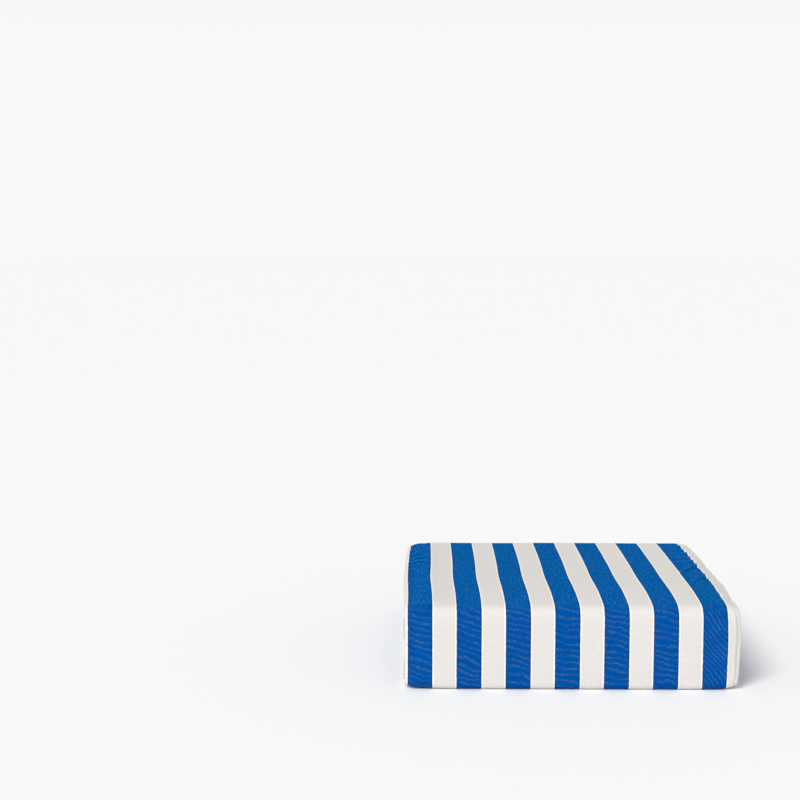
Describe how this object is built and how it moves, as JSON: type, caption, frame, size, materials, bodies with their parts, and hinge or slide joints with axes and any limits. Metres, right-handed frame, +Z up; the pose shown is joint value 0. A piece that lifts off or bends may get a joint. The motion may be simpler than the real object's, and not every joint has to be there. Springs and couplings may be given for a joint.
{
  "type": "lounge cushion",
  "caption": "Square foam-filled box cushion in striped canvas, with a crowned top, soft rounded front and back edges and sewn end panels.",
  "frame": {"origin": "on the ground under the middle of the cushion", "axes": "+Z up through the cushion's thickness, -Y towards its front edge, +X towards its right end seen from the front"},
  "size_m": [0.784, 0.784, 0.206],
  "materials": {
    "striped_canvas": "woven outdoor canvas in wide blue and white stripes that run from front to back",
    "striped_canvas_end": "the same canvas with its stripes level, sewn on as end panels"
  },
  "bodies": {
    "root": {"cushion": "striped_canvas", "end_panel_left": "striped_canvas_end", "end_panel_right": "striped_canvas_end"}
  },
  "joints": []
}
